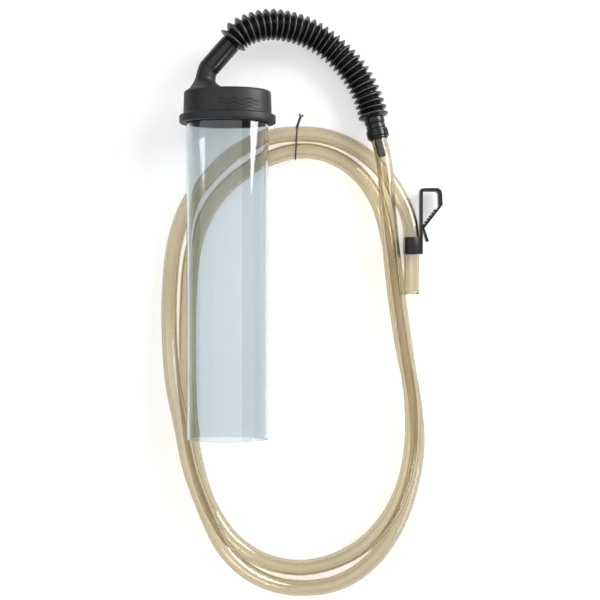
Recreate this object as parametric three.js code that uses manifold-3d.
// Gravel vacuum siphon, laid flat on a table with its hose coiled under and beside it.
// Millimetres. +Z is up from the table, +Y runs from the tube's mouth to its cap.
// The origin is on the table, under the middle of the head and its corrugated hose.
import * as THREE from 'three';
import { mergeVertices } from 'three/addons/utils/BufferGeometryUtils.js';
import Module from 'manifold-3d';

const wasm = await Module();
wasm.setup();

// ---- driving dimensions ----
const fit = 0.3; // play between parts that touch
const headX = -44.2; // axis of the oval tube and cap
const headZ = 32.3;
const mouthY = -162; // open end of the tube
const ovalPower = 2.2; // 2 is an ellipse, more is squarer
const ovalSides = 56;

const tube = { length: 254, width: 61.6, depth: 40, wall: 1.8 };
const socketDepth = 16.8; // how far the tube enters the cap
const cap = { height: 23.8, wall: 2.1, roof: 2.5, lipStep: 3, lipHeight: 5.6, edge: 2 };
const guard = {
  plate: 1.6, skirt: 6, skirtWall: 1.4,
  slot: 1.9, slotLength: 4.2, crossLength: 3.4, // each opening is a cross
  pitch: 4.6, rowPitch: 5.75, reach: 20,
};

const boreR = 5.3; // straight part of the spout's bore, where the ball moves
const ball = { radius: 4, travel: 3 };
const spoutR = 7.7;
const passageR = 4.3; // water way through the bend and spigot
const spigot = { radius: 6.1, length: 11 };
const swivelAngle = THREE.MathUtils.degToRad(48.8); // spout outlet, from +X towards +Y
const outlet = new THREE.Vector3(-58.4, 116.5, headZ);

const cuff = { radius: 7.7, length: 25, bore: 6.4 };
const crestR = 11.7; // corrugated hose, over its crests
const lowerCuff = { radius: 7.4, length: 8.8, bore: 5.1 };
const nut = {
  radius: 8.4, length: 5.6, bore: 5.8, gap: 0.6,
  notches: 12, notchR: 0.95, notchOffset: 0.35, notchStart: 1.4,
};
const barb = { radius: 4.2, core: 3.7, bore: 3, flange: 7.2, length: 13, plain: 2, teeth: 3 };
const hoseR = 5.7; // flats of the clear hose's section
const hoseBore = 4.5;

const lipY = mouthY + tube.length - socketDepth;
const capTopY = lipY + cap.height;
const tubeTopY = mouthY + tube.length;

const boreX = -61.3; // axis of the spout's straight bore
const seat = { y: capTopY - cap.roof + 0.2, height: 3.6, radius: 2.9, mouth: 4.2, slope: 2 };
const ballY = seat.y + seat.height + 1.4;
const stop = { y: ballY + ball.radius + ball.travel + fit, height: 1.2, ring: 1.1, halfBar: 0.6 };

// ---- routes, in order from the spout to the free end ----
const corrugatedRoute = [
  [-41.6, 135.8, 32.3], [-36.5, 141.5, 32.2], [-28.4, 146.4, 31], [-14.4, 150.8, 27.3],
  [-0.4, 151, 22.5], [13.6, 148.2, 17.7], [26.6, 142.2, 13.8], [38.2, 133.4, 12],
  [48.8, 122.3, 11.8], [57.3, 109.8, 11.8], [62.5, 98.5, 11.8], [65.4, 89.9, 12.1], [67.2, 82, 13],
];
const fittingStart = new THREE.Vector3(67.2, 82, 13);
const fittingAxis = new THREE.Vector3(4.8, -21, 2.4).normalize();

const clearRoute = [
  // straight off the connector and down the right side, over the second turn
  [70.9, 65.6, 14.9], [74, 52.1, 16.5], [75.6, 39, 18.8], [76.6, 23.5, 19.2], [79.5, -8.5, 18.7],
  [85, -54.5, 18.5], [91, -97.5, 18.5], [96, -137, 18.5], [95.5, -172.5, 18.5],
  [89.5, -200.5, 18.2], [77.5, -225, 16.8], [60, -245.5, 13],
  // first turn: bottom, left side, under the tube and across the top
  [37, -260, 7], [10, -265.5, 6], [-18, -260, 6], [-42, -244, 6], [-60, -217.5, 6],
  [-71, -183.5, 6], [-76.5, -147, 6], [-78, -104, 6], [-77.5, -63.5, 6], [-75, -28, 6],
  [-68, -1.5, 6], [-56, 20, 6], [-38.5, 38, 6], [-17, 51, 6.5], [7, 58, 8], [31, 55.5, 6.5],
  [54, 42, 6], [70, 20, 6], [79, -11, 6], [83.8, -51.5, 6], [90.5, -96.5, 6],
  [98, -132, 6], [101, -170, 6], [95.5, -204.5, 6],
  // second turn: bottom, up onto the first turn on the left, under the tube again
  [83.5, -236, 6], [64.5, -261.5, 6], [41, -276.5, 6], [14, -281, 6.8], [-11, -276.5, 11],
  [-32, -264.5, 15.6], [-49, -246, 17.8], [-62, -219, 18.2], [-73.5, -187.5, 17.8],
  [-80.5, -154, 17.2], [-87.5, -120.5, 14.5], [-91, -83, 8.4], [-91, -49.5, 6], [-87, -13, 6],
  [-76.5, 17, 6], [-58, 41, 6], [-36, 59.5, 6], [-14, 68.5, 6.7], [7, 71.2, 8], [32, 69, 6.5],
  // under the first stretch and down to the free end
  [56, 58.5, 6], [75.5, 41, 6], [89.8, 18.5, 6.8], [95.2, 3, 8.2], [96.6, -9, 8.5],
  [96.6, -20, 8.5], [96.6, -31, 8.3], [96.6, -42, 6.7], [96.6, -53, 6.7],
];
// The tie holds the two top strands, whose middles are at low and high.
const tie = {
  x: 7, low: 58, high: 71.2, z: 8, inner: 6.9, outer: 7.7, halfWidth: 1.1, tailR: 1.1, tailLength: 11,
};

// ---- solids ----
const onAxis = 0.001; // radius of a turned profile's ends where the piece is solid

function toSolid(geometry) {
  const g = geometry.index ? geometry.toNonIndexed() : geometry.clone();
  g.deleteAttribute('normal');
  g.deleteAttribute('uv');
  const merged = mergeVertices(g, 1e-4);
  const build = () => new wasm.Manifold(new wasm.Mesh({
    numProp: 3,
    vertProperties: new Float32Array(merged.attributes.position.array),
    triVerts: new Uint32Array(merged.index.array),
  }));
  const solid = build();
  if (solid.volume() > 0) return solid;
  const index = merged.index.array;
  for (let i = 0; i < index.length; i += 3) [index[i], index[i + 1]] = [index[i + 1], index[i]];
  return build();
}

function toGeometry(solid) {
  const { vertProperties, triVerts } = solid.getMesh();
  const geometry = new THREE.BufferGeometry();
  geometry.setAttribute('position', new THREE.BufferAttribute(new Float32Array(vertProperties), 3));
  geometry.setIndex(new THREE.BufferAttribute(new Uint32Array(triVerts), 1));
  geometry.computeVertexNormals();
  return geometry;
}

const up = new THREE.Vector3(0, 1, 0); // from the tube's mouth towards the cap
const join = (solids) => solids.reduce((a, b) => a.add(b));
const cut = (solid, tools) => tools.reduce((a, b) => a.subtract(b), solid);

// A closed skin over rings of points that all have the same count and turn.
function loft(rings) {
  const sides = rings[0].length;
  const positions = [];
  const put = (...points) => points.forEach((p) => positions.push(p.x, p.y, p.z));
  const middle = (ring) => ring.reduce((a, p) => a.add(p), new THREE.Vector3()).divideScalar(sides);
  const first = middle(rings[0]);
  const last = middle(rings.at(-1));
  for (let i = 0; i < sides; i++) {
    const j = (i + 1) % sides;
    put(first, rings[0][j], rings[0][i]);
    put(last, rings.at(-1)[i], rings.at(-1)[j]);
    for (let k = 0; k + 1 < rings.length; k++) {
      put(rings[k][i], rings[k][j], rings[k + 1][j]);
      put(rings[k][i], rings[k + 1][j], rings[k + 1][i]);
    }
  }
  const geometry = new THREE.BufferGeometry();
  geometry.setAttribute('position', new THREE.Float32BufferAttribute(positions, 3));
  return toSolid(geometry);
}

// One ring of the head's oval, across the Y axis.
function ovalRing(y, width, depth) {
  return Array.from({ length: ovalSides }, (_, i) => {
    const a = (i / ovalSides) * 2 * Math.PI;
    const round = (v) => Math.sign(v) * Math.abs(v) ** (2 / ovalPower);
    const x = headX + (width / 2) * round(Math.cos(a));
    return new THREE.Vector3(x, y, headZ - (depth / 2) * round(Math.sin(a)));
  });
}

function oval(sections) {
  return loft(sections.map(([y, width, depth]) => ovalRing(y, width, depth)));
}

// A round ring about a point, square to a direction that lies in the XY plane.
function roundRing(x, y, angle, radius, sides = 32) {
  const across = new THREE.Vector3(Math.sin(angle), -Math.cos(angle), 0);
  return Array.from({ length: sides }, (_, i) => {
    const a = (i / sides) * 2 * Math.PI;
    const point = new THREE.Vector3(x, y, headZ + radius * Math.sin(a));
    return point.addScaledVector(across, radius * Math.cos(a));
  });
}

// A turned piece: profile of [radius, distance] along an axis from a start point.
function turned(profile, start, axis, sides = 40) {
  const points = profile.map(([r, d]) => new THREE.Vector2(r, d));
  const geometry = new THREE.LatheGeometry([...points, points[0]], sides);
  const turn = new THREE.Quaternion().setFromUnitVectors(new THREE.Vector3(0, 1, 0), axis);
  geometry.applyQuaternion(turn);
  geometry.translate(start.x, start.y, start.z);
  return toSolid(geometry);
}

// The profile of a plain solid rod.
const rod = (radius, length) => [[onAxis, 0], [radius, 0], [radius, length], [onAxis, length]];

function box(low, high) {
  const size = high.map((v, i) => v - low[i]);
  const geometry = new THREE.BoxGeometry(...size);
  geometry.translate(...low.map((v, i) => v + size[i] / 2));
  return toSolid(geometry);
}

function plate(outline, z0, z1) {
  const shape = new THREE.Shape(outline.map(([x, y]) => new THREE.Vector2(x, y)));
  const geometry = new THREE.ExtrudeGeometry(shape, { depth: z1 - z0, bevelEnabled: false });
  geometry.translate(0, 0, z0);
  return toSolid(geometry);
}

// A plain hose: a polygon section swept along a smooth curve.
function swept(route, radius, sides, steps) {
  const path = new THREE.CatmullRomCurve3(route.map((p) => new THREE.Vector3(...p)));
  const section = new THREE.Shape(Array.from({ length: sides }, (_, i) => {
    const a = ((i + 0.5) / sides) * 2 * Math.PI;
    return new THREE.Vector2(radius * Math.cos(a), radius * Math.sin(a));
  }));
  return toSolid(new THREE.ExtrudeGeometry(section, { steps, bevelEnabled: false, extrudePath: path }));
}

// ---- head ----
function makeTube() {
  const { width, depth, wall } = tube;
  const outer = oval([[mouthY, width, depth], [tubeTopY, width, depth]]);
  const inner = [width - 2 * wall, depth - 2 * wall];
  return cut(outer, [oval([[mouthY - 1, ...inner], [tubeTopY + 1, ...inner]])]);
}

// Grille at the tube's top end: a flange on the rim, a skirt inside it and rows of cross slots.
function makeGuard() {
  const rim = tubeTopY + fit;
  const skirtW = tube.width - 2 * tube.wall - 2 * fit;
  const skirtD = tube.depth - 2 * tube.wall - 2 * fit;
  const inside = [skirtW - 2 * guard.skirtWall, skirtD - 2 * guard.skirtWall];
  const flange = oval([[rim, tube.width, tube.depth], [rim + guard.plate, tube.width, tube.depth]]);
  const skirt = cut(
    oval([[rim - guard.skirt, skirtW, skirtD], [rim + 0.2, skirtW, skirtD]]),
    [oval([[rim - guard.skirt - 1, ...inside], [rim + 0.1, ...inside]])],
  );
  const slots = [];
  const opening = (x, z, width, height) => slots.push(box(
    [x - width / 2, rim - 1, z - height / 2],
    [x + width / 2, rim + guard.plate + 1, z + height / 2],
  ));
  for (let row = -2; row <= 2; row++) {
    const offset = row % 2 === 0 ? 0 : 0.5; // alternate rows are staggered
    for (let column = -4; column <= 4; column++) {
      const across = (column + offset) * guard.pitch;
      if (Math.abs(across) > guard.reach) continue;
      const z = headZ + row * guard.rowPitch;
      opening(headX + across, z, guard.slot, guard.slotLength);
      opening(headX + across, z, guard.crossLength, guard.slot);
    }
  }
  return cut(flange.add(skirt), slots);
}

// Centre, direction and outer radius of the spout, from inside the cap's roof to near its outlet.
const spoutBend = [
  [-59.6, capTopY - 1.6, 90, 15.6], [-59.6, capTopY + 0.4, 90, 15.4], [-59.7, capTopY + 1.2, 90, 14.3],
  [-59.9, capTopY + 2.3, 90, 13], [-60.2, capTopY + 4.3, 88, 11], [-60.6, capTopY + 7, 83, 8.7],
  [-60.6, capTopY + 10.2, 74, 7.6], [-60, capTopY + 12.9, 64, 7.6], [-59.4, capTopY + 15.3, 55, 7.65],
];
const outletAxis = new THREE.Vector3(Math.cos(swivelAngle), Math.sin(swivelAngle), 0);

function makeCap() {
  const outerW = tube.width + 2 * fit + 2 * cap.wall;
  const outerD = tube.depth + 2 * fit + 2 * cap.wall;
  const step = 2 * cap.lipStep;
  const lipTop = lipY + cap.lipHeight;
  const shell = oval([
    [lipY, outerW + step - 1, outerD + step - 1], [lipY + 0.6, outerW + step, outerD + step],
    [lipTop - 0.8, outerW + step, outerD + step], [lipTop, outerW + step - 1.6, outerD + step - 1.6],
    [lipTop + 0.1, outerW + 0.6, outerD + 0.6], [capTopY - cap.edge, outerW - 0.6, outerD - 0.6],
    [capTopY - 0.6, outerW - 1.8, outerD - 1.8], [capTopY, outerW - 4.2, outerD - 4.2],
  ]);
  const rings = spoutBend.map(([x, y, angle, r]) => roundRing(x, y, THREE.MathUtils.degToRad(angle), r));
  rings.push(roundRing(outlet.x, outlet.y, swivelAngle, spoutR));
  const along = (d) => {
    const { x, y } = outlet.clone().addScaledVector(outletAxis, d);
    return [x, y, swivelAngle];
  };
  const stub = loft([
    roundRing(...along(-2), spigot.radius),
    roundRing(...along(spigot.length), spigot.radius),
  ]);
  const socketW = tube.width + 2 * fit;
  const socketD = tube.depth + 2 * fit;
  const shoulder = tubeTopY + guard.plate + 2 * fit;
  const socket = oval([[lipY - 1, socketW, socketD], [shoulder, socketW, socketD]]);
  const chamber = oval([
    [shoulder - 0.1, socketW - 4, socketD - 4], [capTopY - cap.roof, socketW - 6, socketD - 6],
  ]);
  const straight = loft([
    roundRing(boreX, capTopY - cap.roof - 0.5, Math.PI / 2, boreR),
    roundRing(boreX, stop.y + stop.height + fit, Math.PI / 2, boreR),
  ]);
  const bend = [[boreX, stop.y - 1, 80], ...spoutBend.slice(7)];
  const wayRings = bend.map(([x, y, angle]) => (
    roundRing(x, y, THREE.MathUtils.degToRad(angle), passageR)));
  wayRings.push(roundRing(...along(0), passageR));
  wayRings.push(roundRing(...along(spigot.length + 1), passageR));
  return cut(join([shell, loft(rings), stub]), [socket, chamber, straight, loft(wayRings)]);
}

// Ring pressed into the bottom of the spout's bore, with a sloped seat for the ball.
function makeValveSeat() {
  const start = new THREE.Vector3(boreX, seat.y, headZ);
  const { height, radius, mouth, slope } = seat;
  const outer = boreR - fit;
  return turned([
    [radius, 0], [outer, 0], [outer, height], [mouth, height], [radius, height - slope],
  ], start, up, 32);
}

function makeBall() {
  const geometry = new THREE.SphereGeometry(ball.radius, 24, 14);
  geometry.translate(boreX, ballY, headZ);
  return toSolid(geometry);
}

// Two crossed bars on a short ring, above the ball, that keep it out of the hose.
function makeBallStop() {
  const { y, height, ring, halfBar } = stop;
  const start = new THREE.Vector3(boreX, y, headZ);
  const outer = boreR - fit;
  const inner = outer - ring;
  const reach = inner + ring / 2;
  return join([
    turned([[inner, 0], [outer, 0], [outer, height], [inner, height]], start, up, 32),
    box([boreX - reach, y, headZ - halfBar], [boreX + reach, y + height, headZ + halfBar]),
    box([boreX - halfBar, y, headZ - reach], [boreX + halfBar, y + height, headZ + reach]),
  ]);
}

// ---- corrugated hose and its fittings ----
function makeUpperCuff() {
  const { radius, length, bore } = cuff;
  return turned([
    [bore, fit], [radius - 0.5, fit], [radius, fit + 0.6], [radius, length - fit],
    [passageR, length - fit], [passageR, spigot.length + 1], [bore, spigot.length + 1],
  ], outlet, outletAxis);
}

function makeLowerCuff() {
  const { radius, length, bore } = lowerCuff;
  return turned([
    [bore, fit], [radius + 0.4, fit], [radius + 0.4, 3.6], [radius, 3.9], [radius, 4.4],
    [radius - 0.4, 4.7], [radius - 0.4, 5.2], [radius, 5.5], [radius, length - 0.4],
    [radius - 0.4, length], [bore, length],
  ], fittingStart, fittingAxis);
}

function makeNut() {
  const start = fittingStart.clone().addScaledVector(fittingAxis, lowerCuff.length + nut.gap);
  const { radius, length, bore, notches, notchR, notchOffset, notchStart } = nut;
  const body = turned([
    [bore, 0], [radius - 0.6, 0], [radius, 0.6], [radius, length - 0.5], [radius - 0.5, length],
    [bore, length],
  ], start, fittingAxis, 48);
  const side = new THREE.Vector3(0, 0, 1).cross(fittingAxis).normalize();
  const tools = [];
  for (let i = 0; i < notches; i++) {
    const a = (i / notches) * 2 * Math.PI;
    const out = side.clone().applyAxisAngle(fittingAxis, a);
    const from = start.clone().addScaledVector(out, radius + notchOffset);
    from.addScaledVector(fittingAxis, notchStart);
    tools.push(turned(rod(notchR, length), from, fittingAxis, 12));
  }
  return cut(body, tools);
}

// Hollow adaptor: spigot into the lower cuff, flange, and a barbed nose inside the clear hose.
function makeConnector() {
  const nutEnd = lowerCuff.length + nut.gap + nut.length;
  const flangeStart = nutEnd + fit;
  const hoseFace = fittingStart.distanceTo(new THREE.Vector3(...clearRoute[0]));
  const { radius, core, bore, flange, length, plain, teeth } = barb;
  const pitch = (length - plain - 1) / teeth;
  const profile = [
    [bore, 1.2], [lowerCuff.bore - fit, 1.2], [lowerCuff.bore - fit, lowerCuff.length],
    [nut.bore - fit, lowerCuff.length + fit], [nut.bore - fit, flangeStart], [flange, flangeStart],
    [flange, hoseFace - fit], [core, hoseFace - fit],
  ];
  for (let i = 0; i < teeth; i++) {
    const at = hoseFace + plain + i * pitch;
    profile.push([core, at], [radius, at + 0.2], [core, at + pitch]);
  }
  profile.push([core - 0.3, hoseFace + length], [bore, hoseFace + length]);
  return turned(profile, fittingStart, fittingAxis);
}

function makeCorrugatedHose() {
  return swept(corrugatedRoute, crestR, 12, 24);
}

// The clear hose, bored at both ends as far as the barb reaches.
function makeClearHose() {
  const start = new THREE.Vector3(...clearRoute[0]).addScaledVector(fittingAxis, -1);
  const end = new THREE.Vector3(...clearRoute.at(-1)).add(new THREE.Vector3(0, -1, 0));
  return cut(swept(clearRoute, hoseR / Math.cos(Math.PI / 10), 10, 80), [
    turned(rod(hoseBore, barb.length + 2), start, fittingAxis, 20),
    turned(rod(hoseBore, barb.length), end, up, 20),
  ]);
}

// Strip of coated wire round the two top strands, with its ends twisted together.
function makeTwistTie() {
  const { x, low, high, z, inner, outer, halfWidth, tailR, tailLength } = tie;
  const stadium = (radius, half) => {
    const shape = new THREE.Shape();
    shape.absarc(high, z, radius, -Math.PI / 2, Math.PI / 2, false);
    shape.absarc(low, z, radius, Math.PI / 2, 1.5 * Math.PI, false);
    const settings = { depth: 2 * half, bevelEnabled: false, curveSegments: 20 };
    const geometry = new THREE.ExtrudeGeometry(shape, settings);
    geometry.rotateX(Math.PI / 2).rotateZ(Math.PI / 2).translate(x - half, 0, 0);
    return toSolid(geometry);
  };
  const band = cut(stadium(outer, halfWidth), [stadium(inner, 2 * halfWidth)]);
  const start = new THREE.Vector3(x, high + 3, z + outer - 1.3);
  const axis = new THREE.Vector3(0.35, 1, 0.12).normalize();
  return band.add(turned(rod(tailR, tailLength), start, axis, 10));
}

// ---- rim clip on the hose ----
const clip = {
  z0: 3.6, z1: 13.4, // its width, across the hose
  legX: 102.9, // inner leg's near face, against the ring
  legT: 2,
  top: 29, // outer face of the top bar
  outerX: 120.2, // outer leg's far face
  outerT: 2.8,
  hingeY: 15.4, // where the arm springs from the outer leg
  bar: 2.4, // thickness of the top bar
  ringLow: -22,
  ringHigh: -9,
  ringBore: 6.4,
  ringR: 8.2,
};
const ringCentre = { x: 96.6, z: 8.5 };
const arm = { thick: 1.7, tooth: 1, teeth: 6, pitch: 2.8, inset: 0.4 };

function makeClipBody() {
  const { z0, z1, legX, legT, top, bar, outerX, outerT, hingeY } = clip;
  const { ringLow, ringHigh, ringBore, ringR } = clip;
  const centre = new THREE.Vector3(ringCentre.x, ringLow, ringCentre.z);
  const length = ringHigh - ringLow;
  const wall = [[ringBore, 0], [ringR, 0], [ringR, length], [ringBore, length]];
  const ring = turned(wall, centre, up, 40);
  const gap = plate([
    [ringCentre.x - 5, -4.9], [ringCentre.x - 12, -11], [ringCentre.x - 12, 11], [ringCentre.x - 5, 4.9],
  ], ringLow - 1, ringHigh + 1);
  // The wedge that opens the ring is drawn in X and Z, then stood up along Y.
  const mouth = gap.rotate([-90, 0, 0]).translate([0, 0, ringCentre.z]);
  const hook = plate([
    [legX, ringLow], [legX + legT, ringLow], [legX + legT, top - bar], [outerX - outerT - 1.2, top - bar],
    [outerX - outerT, top - bar - 1.2], [outerX - outerT, hingeY], [outerX, hingeY], [outerX, top - bar],
    [outerX - 0.9, top - 0.8], [outerX - 2.8, top], [legX + 1.6, top - 0.6], [legX, top - 2.2],
  ], z0, z1);
  return ring.subtract(mouth).add(hook);
}

// Toothed arm: runs in from the outer leg to the inner leg, then flares out as a lead-in.
function makeClipArm() {
  const { z0, z1, legX, legT, outerX, outerT, hingeY } = clip;
  const root = new THREE.Vector2(outerX - 0.6, hingeY - fit);
  const nose = new THREE.Vector2(legX + legT + 1.3, -2.2);
  const along = nose.clone().sub(root);
  const length = along.length();
  along.normalize();
  const inward = new THREE.Vector2(along.y, -along.x); // towards the inner leg
  const at = (d, h) => root.clone().addScaledVector(along, d).addScaledVector(inward, h).toArray();
  const { thick, tooth, teeth, pitch, inset } = arm;
  const outline = [
    [root.x, root.y], at(length, 0), [109.6, -12.2], [108, -12.6], [legX + legT + 0.5, -3.6],
    at(length - 0.2, thick),
  ];
  for (let i = 1; i <= teeth; i++) {
    const d = length - i * pitch;
    outline.push(at(d + 0.2, thick + tooth), at(d, thick));
  }
  outline.push([outerX - outerT, hingeY - fit]);
  return plate(outline, z0 + inset, z1 - inset);
}

// ---- materials ----
const finish = (color, roughness, more = {}) => (
  new THREE.MeshStandardMaterial({ color, roughness, metalness: 0, ...more }));
const materials = {
  cap: finish(0x2f3133, 0.62),
  clear: finish(0xcfdbe4, 0.08, { transparent: true, opacity: 0.35 }),
  guard: finish(0x1b1c1e, 0.5),
  valve: finish(0xd8d8d4, 0.4),
  ball: finish(0xe9e6dc, 0.25),
  gloss: finish(0x121314, 0.22),
  hose: finish(0xb8ab8e, 0.15, { transparent: true, opacity: 0.5 }),
  wire: finish(0x0d0d0e, 0.45),
  clip: finish(0x191a1c, 0.4),
};

const group = new THREE.Group();
function place(name, solid, material) {
  const mesh = new THREE.Mesh(toGeometry(solid), material.clone());
  mesh.name = name;
  group.add(mesh);
}

place('tube_cap', makeCap(), materials.cap);
place('vacuum_tube', makeTube(), materials.clear);
place('gravel_guard', makeGuard(), materials.guard);
place('valve_seat', makeValveSeat(), materials.valve);
place('valve_ball', makeBall(), materials.ball);
place('ball_stop', makeBallStop(), materials.valve);
place('hose_cuff_upper', makeUpperCuff(), materials.gloss);
place('corrugated_hose', makeCorrugatedHose(), materials.gloss);
place('hose_cuff_lower', makeLowerCuff(), materials.gloss);
place('hose_connector', makeConnector(), materials.gloss);
place('coupling_nut', makeNut(), materials.gloss);
place('clear_hose', makeClearHose(), materials.hose);
place('twist_tie', makeTwistTie(), materials.wire);
place('clip_body', makeClipBody(), materials.clip);
place('clip_arm', makeClipArm(), materials.clip);

export default group;
